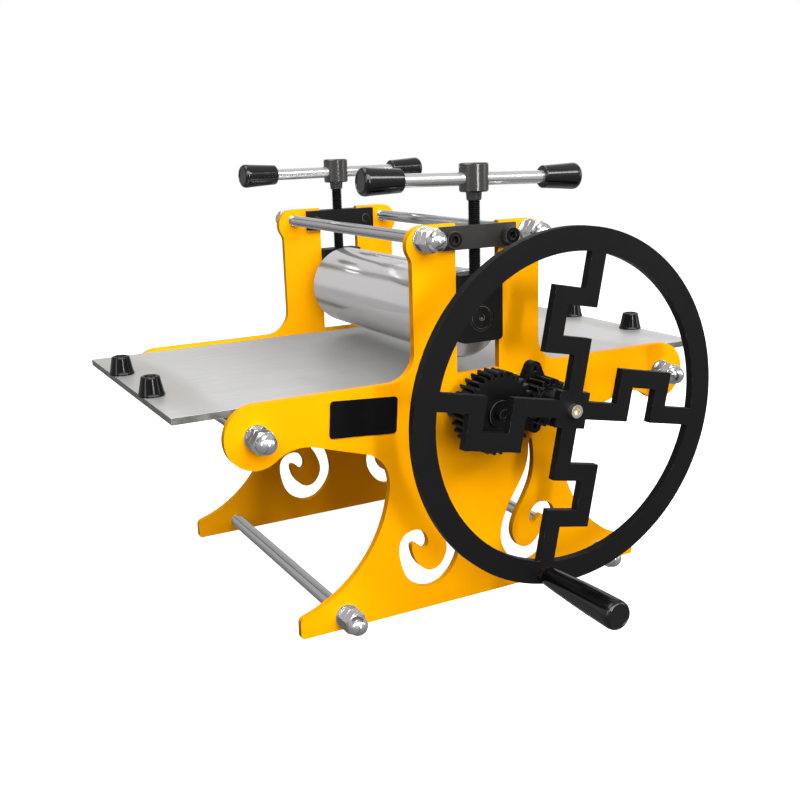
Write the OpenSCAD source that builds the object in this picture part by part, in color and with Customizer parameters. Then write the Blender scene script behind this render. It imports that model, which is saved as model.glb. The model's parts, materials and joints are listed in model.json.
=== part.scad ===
// Tabletop etching press: two cut side plates, an upper roller on pressure screws,
// a geared lower roller, a sliding bed and a hand wheel with four stepped spokes.
// X runs along the bed's travel, the gears and the wheel stand on the -Y side, Z is up.
// The modules draw with X = 0 on the rollers' axis and Y = 0 midway between the plates.

/* [Side plates] */
// Thickness of each side plate
plate_t = 6; // [5:0.5:7]
// Distance between the inner faces of the side plates
plate_gap = 250; // [250:1:270]
// Height of the plates' top edge
plate_top = 315.3; // [312:0.1:320]
// Distance from the middle to the outer edge of each post
post_half = 59.3; // [58:0.1:61]
// Width of the slot that the bearing blocks slide in
slot_w = 40.2; // [39.8:0.1:42]
// Height of the slot's floor
slot_floor = 195.5; // [190:0.1:200]
// Half the length of the foot
foot_half = 166.5; // [163:0.5:172]
// Radius of the round end of each arm
arm_end_r = 25.3; // [24:0.1:26]
// Distance from the middle to the arm rods
arm_rod_x = 193.2; // [191:0.1:195]
// Height of the arm rods
arm_rod_z = 170; // [168:1:172]
// Radius of the outer circle of each arch
arch_outer_r = 34.2; // [33:0.1:35]
// Radius of the inner circle of each arch
arch_inner_r = 28.3; // [27:0.1:29]
// Radius of the long sweep from the arch down to the foot
sweep_r = 108.7; // [107:0.1:109]

/* [Tie rods] */
// Diameter of the arm rods and the foot rods
rod_d = 12; // [10:0.5:14]
// Diameter of the two top rods
top_rod_d = 10; // [10:0.5:12]
// Width across the flats of the rods' nuts
nut_s = 17; // [16:1:19]

/* [Rollers] */
// Diameter of the upper roller
upper_d = 73; // [70:0.5:74]
// Length of the upper roller's body
upper_l = 225; // [220:1:230]
// Height of the upper roller's axis
upper_z = 240; // [238:0.5:246]
// Diameter of the upper roller's shaft ends
upper_shaft_d = 20; // [18:1:20]
// Diameter of the lower roller
lower_d = 41.6; // [38:0.2:42]
// Diameter of the lower roller's shaft ends
lower_shaft_d = 17; // [15:1:18]

/* [Bed] */
// Length of the bed
bed_l = 492.4; // [460:0.2:520]
// Width of the bed
bed_w = 249.2; // [240:0.2:249.4]
// Thickness of the bed
bed_t = 5.3; // [4:0.1:6]
// Height of the bed's underside
bed_z = 187.3; // [186.5:0.1:188]
// Where the middle of the bed stands along its travel
bed_centre = -7.6; // [-12:0.1:12]

/* [Gears and wheel] */
// Gear module
gear_m = 2; // [2:0.1:2]
// Teeth of the gear on the lower roller
gear_n = 32; // [30:1:32]
// Teeth of the pinion on the crank shaft
pinion_n = 18; // [18:1:18]
// Face width of both gears
gear_face = 20; // [16:1:20]
// Diameter of the crank shaft
crank_d = 15; // [14:1:16]
// Radius of the wheel's outer edge
wheel_r = 144.7; // [140:0.1:146]
// Radius of the wheel's inner edge
rim_r = 125.5; // [122:0.1:128]
// Thickness of the wheel
wheel_t = 7.2; // [6:0.1:8]
// How far the wheel is turned, clockwise from the front
wheel_turn = 11.1; // [0:0.1:30]
// Length of the handle's grip
grip_l = 87; // [80:1:95]
// Diameter of the grip's free end
grip_d = 23.5; // [20:0.5:25]

/* [Pressure screws] */
// Diameter of the pressure screws
screw_d = 10; // [10:1:12]
// Height of the middle of the near cross bar
near_bar_z = 348.3; // [344:0.1:352]
// How much higher the far cross bar stands
far_bar_up = 1.2; // [0:0.1:3]
// Tilt of the near cross bar in its hub
near_bar_tilt = 1.1; // [0:0.1:2]
// How far the far cross bar is turned round its screw
far_bar_turn = 4.5; // [0:0.1:10]
// How far the far cross bar is pushed through its hub
far_bar_slide = 1.7; // [0:0.1:3]

/* [Hidden] */
$fn = 64;
plate_in = plate_gap / 2;
plate_out = plate_in + plate_t;
arm_top = arm_rod_z + arm_end_r;
top_rod = [48.3, plate_top - 10.4];
foot_rod = [126.8, 10.7];
rod_places = [top_rod, [arm_rod_x, arm_rod_z], foot_rod];
rod_end_r = 4.8;
rod_hole_r = 5;
washer_t = 2;
washer_r = 10;
nut_h = 8;
acorn_l = 18;
acorn_dome_r = 8;
rod_end_l = 9;
nut_stack = washer_t + nut_h + acorn_l;
shaft_play = 0.05;
press_play = 0.02;
touch = 0.05;
body_gap = 0.3;
overlap = 1;

// The arch under each arm, and the sweep below it, as circles that touch and overlap by a hair
arch_angle = 53.3;
sweep_at = [192.5, 122.6];
sweep_tangent = 5.4;
arch_outer_at = [
    arm_rod_x - (arm_end_r + arch_outer_r - touch) * cos(arch_angle),
    arm_rod_z - (arm_end_r + arch_outer_r - touch) * sin(arch_angle)
];
arch_inner_at = sweep_at - (sweep_r - arch_inner_r) * [cos(sweep_tangent), sin(sweep_tangent)];

// Rounded tip of the foot, touching the sweep
tip_r = 5;
toe_r = 3;
tip_at = [
    foot_half - tip_r,
    sweep_at.y - sqrt(pow(sweep_r + tip_r - touch, 2) - pow(sweep_at.x - foot_half + tip_r, 2))
];
tip_join = tip_at + tip_r / (sweep_r + tip_r) * (sweep_at - tip_at);

// Rounded lobe at the top of each post
lobe_r = 14.9;
lobe_at = [49, plate_top - lobe_r];
lobe_fillet_r = 12;
lobe_fillet_at = [
    post_half + lobe_fillet_r,
    lobe_at.y - sqrt(pow(lobe_r + lobe_fillet_r - touch, 2) - pow(post_half + lobe_fillet_r - lobe_at.x, 2))
];
post_fillet_r = 22;

// Scroll cut-out on the right of the plate, from the tip of its tail round the bowl and back
scroll = [
    [51.6, 130.9], [49.7, 127], [49.6, 119], [48.3, 111], [45.7, 102.5], [41.2, 94.4],
    [36.1, 86.3], [31, 78.3], [26.6, 70], [23.4, 62], [21.5, 54], [21, 47], [22.1, 40.5],
    [24.7, 34.6], [28.2, 29.3], [32.4, 24.9], [37.4, 21.2], [43.2, 19], [50, 18.4], [57.2, 20],
    [63.2, 23.4], [68.4, 28], [71.9, 32.7], [74.5, 38.5], [76.2, 44.8], [77.3, 51],
    [77.5, 56.8], [76.4, 62.3], [73.9, 66.3], [70, 69.1], [65.4, 70.6], [61, 70.7], [57, 69.2],
    [53.7, 66.3], [51.5, 62.6], [50.6, 58.6], [51.4, 54.8], [53.8, 52.9], [56.6, 54],
    [58.7, 56.4], [61.2, 58.4], [64, 59], [65.8, 57], [65.4, 52.2], [63.6, 46.3], [60.4, 41],
    [56.4, 36.6], [51.2, 33.3], [45.6, 32.8], [40.7, 34.6], [36.8, 38.6], [34.2, 43.4],
    [33, 48.4], [33.2, 53.5], [35, 59.8], [38.2, 66.8], [43.3, 75], [47.9, 83.3], [51.7, 91.7],
    [53.9, 100.5], [54.8, 109.5], [54.5, 118.5], [53.4, 127]
];
scroll_steps = 3;

// Crosshead, bearing block and pressure screw of each side
head_half = 35.2;
head_proud = 3;
head_inner = 7;
head_z = [294.8, 313.4];
head_bolt = [26.6, 303.7];
head_bolt_r = 4;
screw_y = plate_in + 2;
block_half = slot_w / 2 - 0.4;
block_z = [upper_z - 19.5, upper_z + 35];
block_proud = 6.5;
block_inner = 6.5;
block_corner_r = 4;
bush_r = 11;
bush_recess = 1;
journal_r = 4;
journal_z = upper_z + 18;
keeper_r = 1.5;
keeper_z = journal_z + 6.6;
keeper_x = journal_r + 0.5;
hub_r = 11.6;
hub_down = 9.9;
hub_up = 12.2;
collar_r = [5.8, 6.4];
collar_l = 6.4;
bar_r = 5.2;
knob_x = [64.9, 99.1];
knob_r = [9, 10.8];
knob_edge = 4;
knob_bore = 20;

// Lower roller, gears and flange bearings
lower_z = bed_z - body_gap - lower_d / 2;
flange_t = 9;
flange_boss_r = 16;
flange_ear_r = 6.2;
flange_bolt_at = 24.5;
flange_spigot_r = 14;
flange_inside = 8;
flange_bolt_r = 2.5;
flange_bolt_head = 4.25;
flange_bolt_sunk = 5;
end_screw_r = 3;
end_screw_l = 14;
gear_washer_r = 11.5;
gear_washer_t = 3;
collar_h = 8;
gear_front = 11.5;
pressure_angle = 20;
gear_backlash = 0.3;
crank_up = 1.5;
crank_x = sqrt(pow(gear_m * (gear_n + pinion_n) / 2, 2) - pow(crank_up, 2));
crank_z = lower_z + crank_up;
mesh_turn = atan(crank_up / crank_x);
key_w = 5;
key_play = 0.03;

// Hand wheel: steps of the top spoke, in the wheel's own upright position
wheel_back = 52.6;
wheel_front = wheel_back + wheel_t;
spoke_half = 7.1;
step_r = [43.9, 57.9, 82.5, 96.5];
step_side = [21.3, 35.9];
hub_half = 14.75;
handle_r = (wheel_r + rim_r) / 2 + 0.9;
handle_x = crank_x - handle_r * sin(wheel_turn);
handle_z = crank_z - handle_r * cos(wheel_turn);
shoulder_l = 5;
spindle_r = 4;
spindle_l = 60;
spindle_head = [5.5, 4];
nut_l = 6.5;
grip_end = wheel_front + shoulder_l + body_gap + grip_l;
dowel_at = 10.2;
dowel_r = 1.5;
dowel_l = 11;
dowel_sunk = 6;

// Bed bumpers
bumper_h = 15.5;
bumper_inset = 8;
bumper_y = 46;
bumper_seat = 4;
bumper_screw_r = 2;

// The object's box stands centred on the origin
origin_shift = [-bed_centre, (grip_end - nut_stack) / 2, 0];

black = "#1c1c1e";
steel = "#b9bcc0";
zinc = "#c9cbcd";
yellow = "#f2a31b";

// Height of the near (-1) or far (1) cross bar
function bar_z(side) = near_bar_z + (side < 0 ? 0 : far_bar_up);

// One point of a smooth closed curve through p, t of the way from point i to the next
function smooth_point(p, i, t) =
    let (
        n = len(p),
        a = p[(i + n - 1) % n],
        b = p[i],
        c = p[(i + 1) % n],
        d = p[(i + 2) % n]
    )
    (2 * b + (c - a) * t + (2 * a - 5 * b + 4 * c - d) * t * t + (3 * b - a - 3 * c + d) * t * t * t) / 2;

function smooth_loop(p, steps) =
    [for (i = [0 : len(p) - 1]) for (j = [0 : steps - 1]) smooth_point(p, i, j / steps)];

// Angle of an involute of base radius rb at radius r, in degrees
function involute(rb, r) =
    let (a = acos(min(1, rb / r)))
    tan(a) * 180 / PI - a;

// Puts a piece that was drawn about the rollers' axis into the object's own frame
module placed() {
    translate(origin_shift) children();
}

// Draws a far-side piece on the far side (1) or mirrored on the near side (-1)
module on_side(side) {
    mirror([0, side < 0 ? 1 : 0, 0]) children();
}

// A flat shape in X and Z, from y0 towards +Y
module upright(y0, thickness) {
    translate([0, y0 + thickness, 0])
        rotate([90, 0, 0])
            linear_extrude(thickness) children();
}

// A cylinder along Y
module bar_y(r, y0, y1, x = 0, z = 0) {
    translate([x, y0, z])
        rotate([-90, 0, 0])
            cylinder(r = r, h = y1 - y0);
}

// Children drawn along +Z point outwards from the near plate, at its outer face
module at_front(x, z) {
    translate([x, -plate_out, z])
        rotate([90, 0, 0]) children();
}

// Two circles and the band between their outer tangents
module link(c1, r1, c2, r2) {
    along = c2 - c1;
    base = atan2(along.y, along.x);
    lean = acos((r1 - r2) / norm(along));
    up = [cos(base + lean), sin(base + lean)];
    down = [cos(base - lean), sin(base - lean)];
    translate(c1) circle(r1);
    translate(c2) circle(r2);
    polygon([c1 + r1 * up, c2 + r2 * up, c2 + r2 * down, c1 + r1 * down]);
}

module arm_and_post() {
    square([tip_join.x, sweep_at.y]);
    square([foot_half - toe_r, tip_at.y]);
    translate([0, toe_r]) square([foot_half, tip_at.y - toe_r]);
    translate([foot_half - toe_r, toe_r]) circle(toe_r);
    translate(tip_at) circle(tip_r);
    translate([0, sweep_at.y - overlap])
        square([arm_rod_x - arm_end_r * cos(arch_angle), arm_rod_z - sweep_at.y + 2 * overlap]);
    translate([0, arm_rod_z]) square([arm_rod_x, arm_end_r]);
    translate([arm_rod_x, arm_rod_z]) circle(arm_end_r);
    translate([0, arm_rod_z]) square([post_half, lobe_at.y - arm_rod_z]);
    translate([0, lobe_at.y - overlap]) square([lobe_at.x, lobe_r + overlap]);
    translate(lobe_at) circle(lobe_r);
    difference() {
        polygon([lobe_at, lobe_fillet_at, [post_half, lobe_fillet_at.y], [lobe_at.x, lobe_fillet_at.y]]);
        translate(lobe_fillet_at) circle(lobe_fillet_r);
    }
    difference() {
        translate([post_half - overlap, arm_top - overlap]) square(post_fillet_r + overlap);
        translate([post_half + post_fillet_r, arm_top + post_fillet_r]) circle(post_fillet_r);
    }
}

module arch() {
    link(arch_inner_at, arch_inner_r, arch_outer_at, arch_outer_r);
    intersection() {
        translate(sweep_at) circle(sweep_r);
        square([sweep_at.x + sweep_r, sweep_at.y - sweep_r * sin(sweep_tangent)]);
    }
}

module plate_half() {
    difference() {
        arm_and_post();
        arch();
        polygon(smooth_loop(scroll, scroll_steps));
        translate([-overlap, slot_floor]) square([slot_w / 2 + overlap, plate_top]);
        for (p = rod_places) translate(p) circle(rod_hole_r);
        translate(head_bolt) circle(head_bolt_r + body_gap);
    }
}

// A round hole through one side plate
module through(side, r, x, z) {
    bar_y(r, side * plate_out - 2 * plate_t, side * plate_out + 2 * plate_t, x, z);
}

module side_plate(side) {
    color(yellow)
        placed()
            difference() {
                union() {
                    on_side(side) upright(plate_in, plate_t) plate_half();
                    on_side(side) upright(plate_in, plate_t) mirror([1, 0]) plate_half();
                }
                through(side, flange_spigot_r, 0, lower_z);
                for (x = [-flange_bolt_at, flange_bolt_at])
                    through(side, flange_bolt_r + shaft_play, x, lower_z);
                if (side < 0) {
                    through(side, flange_spigot_r, crank_x, crank_z);
                    for (z = [-flange_bolt_at, flange_bolt_at])
                        through(side, flange_bolt_r + shaft_play, crank_x, crank_z + z);
                }
            }
}

module side_plate_near() {
    side_plate(-1);
}

module side_plate_far() {
    side_plate(1);
}

module label_plate() {
    label = [58, 29.5];
    label_corner = 3;
    color(black)
        placed()
            at_front(-105.2, 172.3)
                rotate([0, 0, -4])
                    linear_extrude(1) {
                        square(label - 2 * [label_corner, 0], center = true);
                        square(label - 2 * [0, label_corner], center = true);
                        for (x = [-1, 1])
                            for (z = [-1, 1])
                                translate([x * (label.x / 2 - label_corner), z * (label.y / 2 - label_corner)])
                                    circle(label_corner);
                    }
}

module tie_rods(place, r) {
    end_y = plate_out + washer_t + nut_h + rod_end_l;
    color(steel)
        placed()
            for (x = [-place.x, place.x]) {
                bar_y(r, -plate_in, plate_in, x, place.y);
                bar_y(rod_end_r, -end_y, end_y, x, place.y);
            }
}

module top_rods() {
    tie_rods(top_rod, top_rod_d / 2);
}

module arm_rods() {
    tie_rods(rod_places[1], rod_d / 2);
}

module foot_rods() {
    tie_rods(foot_rod, rod_d / 2);
}

// Children drawn along +Z point outwards at each of the twelve rod ends, each turned its own way
module at_rod_ends() {
    placed()
        for (side = [-1, 1])
            on_side(side)
                for (i = [0 : 2])
                    for (x = [-1, 1])
                        translate([x * rod_places[i].x, plate_out, rod_places[i].y])
                            rotate([-90, 0, 0])
                                rotate([0, 0, 17 * i + 9 * x + 5 * side]) children();
}

// A hexagon with both rims chamfered
module hex_solid(across, height) {
    corner = across / sqrt(3);
    slope = (corner - across / 2) * tan(30);
    intersection() {
        cylinder(r = corner, h = height, $fn = 6);
        rotate_extrude()
            polygon([
                [0, 0], [across / 2, 0], [corner, slope],
                [corner, height - slope], [across / 2, height], [0, height]
            ]);
    }
}

module rod_washers() {
    color(zinc)
        at_rod_ends()
            difference() {
                cylinder(r = washer_r, h = washer_t);
                translate([0, 0, -overlap]) cylinder(r = rod_hole_r, h = washer_t + 2 * overlap);
            }
}

module rod_nuts() {
    color(zinc)
        at_rod_ends()
            translate([0, 0, washer_t])
                difference() {
                    hex_solid(nut_s, nut_h);
                    translate([0, 0, -overlap]) cylinder(r = rod_end_r + shaft_play, h = nut_h + 2 * overlap);
                }
}

module acorn_nuts() {
    hex_h = 8;
    bore_l = rod_end_l + 2.5;
    color(zinc)
        at_rod_ends()
            translate([0, 0, washer_t + nut_h])
                difference() {
                    union() {
                        hex_solid(nut_s, hex_h);
                        cylinder(r = acorn_dome_r, h = acorn_l - acorn_dome_r);
                        translate([0, 0, acorn_l - acorn_dome_r]) sphere(acorn_dome_r);
                    }
                    translate([0, 0, -overlap]) cylinder(r = rod_end_r + shaft_play, h = bore_l + overlap);
                }
}

// A cap screw with its head outwards and its shank into the wall
module socket_screw(head_r, head_h, shank_r, shank_l, key) {
    difference() {
        union() {
            cylinder(r = head_r, h = head_h);
            translate([0, 0, -shank_l]) cylinder(r = shank_r, h = shank_l + overlap);
        }
        translate([0, 0, head_h * 0.4]) cylinder(r = key / sqrt(3), h = head_h, $fn = 6);
    }
}

module crosshead(side) {
    y_in = plate_in - head_inner;
    y_out = plate_out + head_proud;
    height = head_z[1] - head_z[0];
    notch_x = slot_w / 2 - 0.2;
    color(black)
        placed()
            on_side(side)
                difference() {
                    translate([-head_half, y_in, head_z[0]]) cube([2 * head_half, y_out - y_in, height]);
                    for (x = [-head_half - overlap, notch_x])
                        translate([x, plate_in - shaft_play, head_z[0] - overlap])
                            cube([head_half - notch_x + overlap, plate_t + 2 * shaft_play, height + 2 * overlap]);
                    translate([0, screw_y, head_z[0] - overlap])
                        cylinder(r = screw_d / 2 + shaft_play, h = height + 2 * overlap);
                    for (x = [-head_bolt.x, head_bolt.x])
                        bar_y(head_bolt_r + shaft_play, y_in - overlap, y_out + overlap, x, head_bolt.y);
                }
}

module crosshead_near() {
    crosshead(-1);
}

module crosshead_far() {
    crosshead(1);
}

module crosshead_bolts() {
    shank_l = head_proud + plate_t + head_inner + 1;
    color(black)
        placed()
            for (side = [-1, 1])
                on_side(side)
                    for (x = [-head_bolt.x, head_bolt.x])
                        translate([x, plate_out + head_proud, head_bolt.y])
                            rotate([-90, 0, 0])
                                socket_screw(6.5, 8, head_bolt_r, shank_l, 6);
}

// Flange bearing drawn along +Z from the plate's outer face, its bolts on the X axis
module flange_bearing(bore_r) {
    color(black)
        difference() {
            union() {
                linear_extrude(flange_t)
                    for (x = [-flange_bolt_at, flange_bolt_at])
                        link([0, 0], flange_boss_r, [x, 0], flange_ear_r);
                translate([0, 0, -plate_t - flange_inside])
                    cylinder(r = flange_spigot_r - shaft_play, h = plate_t + flange_inside + overlap);
            }
            translate([0, 0, -plate_t - flange_inside - overlap])
                cylinder(r = bore_r, h = plate_t + flange_inside + flange_t + 2 * overlap);
            for (x = [-flange_bolt_at, flange_bolt_at]) {
                translate([x, 0, -overlap]) cylinder(r = flange_bolt_r + shaft_play, h = flange_t + 2 * overlap);
                translate([x, 0, flange_t - flange_bolt_sunk]) cylinder(r = flange_bolt_head + 0.2, h = flange_t);
            }
        }
}

module roller_flange(side) {
    placed()
        on_side(side)
            translate([0, plate_out, lower_z])
                rotate([-90, 0, 0]) flange_bearing(lower_shaft_d / 2 + shaft_play);
}

module roller_flange_near() {
    roller_flange(-1);
}

module roller_flange_far() {
    roller_flange(1);
}

module crank_flange() {
    placed()
        at_front(crank_x, crank_z)
            rotate([0, 0, 90]) flange_bearing(crank_d / 2 + shaft_play);
}

module flange_bolt() {
    seat = flange_t - flange_bolt_sunk;
    translate([0, 0, seat]) socket_screw(flange_bolt_head, flange_bolt_sunk, flange_bolt_r, plate_t + seat, 4);
}

module flange_bolts() {
    color(zinc)
        placed() {
            for (side = [-1, 1])
                on_side(side)
                    for (x = [-flange_bolt_at, flange_bolt_at])
                        translate([x, plate_out, lower_z])
                            rotate([-90, 0, 0]) flange_bolt();
            for (z = [-flange_bolt_at, flange_bolt_at]) at_front(crank_x, crank_z + z) flange_bolt();
        }
}

// Bearing block in the slot, standing out of the plate on both sides
module block(side) {
    y_in = plate_in - block_inner;
    y_out = plate_out + block_proud;
    height = block_z[1] - block_z[0];
    color(black)
        placed()
            on_side(side)
                difference() {
                    upright(y_in, y_out - y_in) {
                        translate([-block_half, block_z[0] + block_corner_r])
                            square([2 * block_half, height - block_corner_r]);
                        translate([-block_half + block_corner_r, block_z[0]])
                            square([2 * (block_half - block_corner_r), height]);
                        for (x = [-1, 1])
                            translate([x * (block_half - block_corner_r), block_z[0] + block_corner_r])
                                circle(block_corner_r);
                    }
                    bar_y(bush_r, y_in - overlap, y_out + overlap, 0, upper_z);
                    translate([0, screw_y, journal_z - body_gap])
                        cylinder(r = journal_r + shaft_play, h = block_z[1] - journal_z + overlap);
                    for (x = [-keeper_x, keeper_x])
                        bar_y(keeper_r + press_play, y_in - overlap, screw_y + journal_r + overlap, x, keeper_z);
                }
}

module block_near() {
    block(-1);
}

module block_far() {
    block(1);
}

module bush(side) {
    y_in = plate_in - block_inner;
    y_out = plate_out + block_proud - bush_recess;
    color("#a07a3c")
        placed()
            on_side(side)
                difference() {
                    bar_y(bush_r - press_play, y_in, y_out, 0, upper_z);
                    bar_y(upper_shaft_d / 2 + shaft_play, y_in - overlap, y_out + overlap, 0, upper_z);
                }
}

module bush_near() {
    bush(-1);
}

module bush_far() {
    bush(1);
}

module keeper_pins() {
    color(steel)
        placed()
            for (side = [-1, 1])
                on_side(side)
                    for (x = [-keeper_x, keeper_x])
                        bar_y(keeper_r, plate_in - block_inner, screw_y + journal_r + 0.5, x, keeper_z);
}

// A roller along Y: body, shaft ends and centre holes, turned from one outline
module roller(body_r, body_l, shaft_r, near_l, far_l) {
    bevel = 1.5;
    centre_r = 2.5;
    centre_l = 2.2;
    rotate([-90, 0, 0])
        rotate_extrude()
            polygon([
                [0, centre_l - near_l], [centre_r, -near_l], [shaft_r - 1, -near_l], [shaft_r, 1 - near_l],
                [shaft_r, -body_l / 2], [body_r - bevel, -body_l / 2], [body_r, bevel - body_l / 2],
                [body_r, body_l / 2 - bevel], [body_r - bevel, body_l / 2], [shaft_r, body_l / 2],
                [shaft_r, far_l - 1], [shaft_r - 1, far_l], [centre_r, far_l], [0, far_l - centre_l]
            ]);
}

module upper_roller() {
    shaft_end = plate_out + block_proud - 0.5;
    color(steel)
        placed()
            translate([0, 0, upper_z])
                roller(upper_d / 2, upper_l, upper_shaft_d / 2, shaft_end, shaft_end);
}

// Black screw: turned journal with a keeper groove, thread, and the end inside its hub
module pressure_screw(side) {
    groove_r = journal_r - 1.1;
    groove_half = keeper_r + 0.1;
    thread_z = block_z[1] + 0.1;
    end_z = bar_z(side) - bar_r - 1;
    color(black)
        placed()
            translate([0, side * screw_y, 0])
                rotate_extrude()
                    polygon([
                        [0, journal_z], [journal_r, journal_z], [journal_r, keeper_z - groove_half],
                        [groove_r, keeper_z - groove_half], [groove_r, keeper_z + groove_half],
                        [journal_r, keeper_z + groove_half], [journal_r, thread_z],
                        [screw_d / 2, thread_z], [screw_d / 2, end_z], [0, end_z]
                    ]);
}

module pressure_screw_near() {
    pressure_screw(-1);
}

module pressure_screw_far() {
    pressure_screw(1);
}

// Places children drawn along +X from the middle of a cross bar
module on_bar(side) {
    placed()
        translate([0, side * screw_y, bar_z(side)])
            rotate([0, side < 0 ? near_bar_tilt : 0, side < 0 ? 0 : far_bar_turn])
                translate([side < 0 ? 0 : -far_bar_slide, 0, 0]) children();
}

module t_hub(side) {
    edge = 1;
    bore_l = hub_down + collar_l - bar_r - 0.5;
    color(black)
        difference() {
            placed()
                translate([0, side * screw_y, bar_z(side)])
                    rotate_extrude()
                        polygon([
                            [0, -hub_down - collar_l], [collar_r[0], -hub_down - collar_l],
                            [collar_r[1], -hub_down], [hub_r - edge, -hub_down], [hub_r, edge - hub_down],
                            [hub_r, hub_up - edge], [hub_r - edge, hub_up], [0, hub_up]
                        ]);
            placed()
                translate([0, side * screw_y, bar_z(side) - hub_down - collar_l - overlap])
                    cylinder(r = screw_d / 2 + press_play, h = bore_l + overlap);
            on_bar(side)
                rotate([0, 90, 0]) cylinder(r = bar_r + press_play, h = 4 * hub_r, center = true);
        }
}

module t_hub_near() {
    t_hub(-1);
}

module t_hub_far() {
    t_hub(1);
}

module t_bar(side) {
    bar_half = knob_x[0] + knob_bore - 0.1;
    color(steel)
        on_bar(side)
            rotate([0, 90, 0]) cylinder(r = bar_r, h = 2 * bar_half, center = true);
}

module t_bar_near() {
    t_bar(-1);
}

module t_bar_far() {
    t_bar(1);
}

// Turned knob along +Z with a rounded free end and a blind bore
module knob(length, r0, r1, edge, bore_r, bore_l) {
    rim = 0.8;
    difference() {
        rotate_extrude() {
            polygon([[0, 0], [r0 - rim, 0], [r0, rim], [r1, length - edge], [0, length - edge]]);
            translate([0, length - edge - overlap]) square([r1 - edge, edge + overlap]);
            translate([r1 - edge, length - edge]) circle(edge);
        }
        translate([0, 0, -overlap]) cylinder(r = bore_r, h = bore_l + overlap);
    }
}

module t_knobs(side) {
    length = knob_x[1] - knob_x[0];
    color(black)
        on_bar(side)
            for (turn = [90, -90])
                rotate([0, turn, 0])
                    translate([0, 0, knob_x[0]])
                        knob(length, knob_r[0], knob_r[1], knob_edge, bar_r + press_play, knob_bore);
}

module t_knobs_near() {
    t_knobs(-1);
}

module t_knobs_far() {
    t_knobs(1);
}

// Involute spur gear along +Z, with a tooth on the +X axis
module spur_gear(teeth) {
    pitch_r = gear_m * teeth / 2;
    base_r = pitch_r * cos(pressure_angle);
    tip_radius = pitch_r + gear_m;
    root_r = pitch_r - 1.25 * gear_m;
    first_r = max(base_r, root_r);
    steps = 5;
    half_tooth = 90 / teeth - gear_backlash / 4 / pitch_r * 180 / PI + involute(base_r, pitch_r);
    radii = [for (i = [0 : steps]) first_r + (tip_radius - first_r) * i / steps];
    flank = [for (r = radii) [r, half_tooth - involute(base_r, r)]];
    side = concat([[root_r, half_tooth]], flank);
    linear_extrude(gear_face)
        polygon([
            for (i = [0 : teeth - 1])
                for (p = concat([for (q = side) [q[0], -q[1]]], [for (k = [len(side) - 1 : -1 : 0]) side[k]]))
                    p[0] * [cos(p[1] + 360 / teeth * i), sin(p[1] + 360 / teeth * i)]
        ]);
}

// Square key on top of a shaft, along Z from the plate
module key_block(shaft_r, grow) {
    inset = 2;
    translate([-key_w / 2 - grow, shaft_r - key_w / 2 - grow, gear_front + inset - grow])
        cube([key_w + 2 * grow, key_w + 2 * grow, gear_face - 2 * inset + 2 * grow]);
}

// Tapped hole in a shaft's end, which is this far from the plate
module end_hole(end_at) {
    translate([0, 0, end_at - end_screw_l]) cylinder(r = end_screw_r + shaft_play, h = end_screw_l + overlap);
}

module lower_roller() {
    body_l = 2 * (plate_in - flange_inside - body_gap);
    near_l = plate_out + gear_front + gear_face;
    far_l = plate_out + flange_t - 0.5;
    color(steel)
        placed()
            difference() {
                translate([0, 0, lower_z]) roller(lower_d / 2, body_l, lower_shaft_d / 2, near_l, far_l);
                at_front(0, lower_z) {
                    key_block(lower_shaft_d / 2, key_play);
                    end_hole(gear_front + gear_face);
                }
            }
}

module drive_gear() {
    color("#4a4c4f")
        placed()
            at_front(0, lower_z)
                difference() {
                    translate([0, 0, gear_front]) rotate([0, 0, mesh_turn]) spur_gear(gear_n);
                    translate([0, 0, gear_front - overlap])
                        cylinder(r = lower_shaft_d / 2 + press_play, h = gear_face + 2 * overlap);
                    key_block(lower_shaft_d / 2, key_play);
                }
}

module gear_key() {
    color(steel) placed() at_front(0, lower_z) key_block(lower_shaft_d / 2, 0);
}

module gear_washer() {
    color(black)
        placed()
            at_front(0, lower_z)
                translate([0, 0, gear_front + gear_face])
                    difference() {
                        cylinder(r = gear_washer_r, h = gear_washer_t);
                        translate([0, 0, -overlap])
                            cylinder(r = end_screw_r + 0.2, h = gear_washer_t + 2 * overlap);
                    }
}

module gear_screw() {
    color(black)
        placed()
            at_front(0, lower_z)
                translate([0, 0, gear_front + gear_face + gear_washer_t])
                    socket_screw(5, 4, end_screw_r, gear_washer_t + end_screw_l - 2, 5);
}

module bed_plate() {
    color("#c4c7ca")
        placed()
            difference() {
                translate([bed_centre - bed_l / 2, -bed_w / 2, bed_z]) cube([bed_l, bed_w, bed_t]);
                at_bumpers()
                    translate([0, 0, -bed_t - overlap])
                        cylinder(r = bumper_screw_r + shaft_play, h = bed_t + 2 * overlap);
            }
}

// Children stand on the bed at the four bumpers
module at_bumpers() {
    for (x = [-1, 1])
        for (y = [-bumper_y, bumper_y])
            translate([bed_centre + x * (bed_l / 2 - bumper_inset), y, bed_z + bed_t]) children();
}

module bumpers() {
    foot_r = 10.5;
    top_r = 7.3;
    hole_r = 4.3;
    edge = 0.8;
    color("#222222")
        placed()
            at_bumpers()
                difference() {
                    rotate_extrude()
                        polygon([
                            [0, 0], [foot_r, 0], [foot_r, edge], [top_r, bumper_h - edge],
                            [top_r - edge, bumper_h], [0, bumper_h]
                        ]);
                    translate([0, 0, bumper_seat]) cylinder(r = hole_r, h = bumper_h);
                    translate([0, 0, -overlap]) cylinder(r = bumper_screw_r + shaft_play, h = bumper_h);
                }
}

module bumper_screws() {
    color(zinc)
        placed()
            at_bumpers()
                translate([0, 0, bumper_seat])
                    socket_screw(3.8, 2.4, bumper_screw_r, bumper_seat + bed_t - 0.5, 2.5);
}

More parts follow.
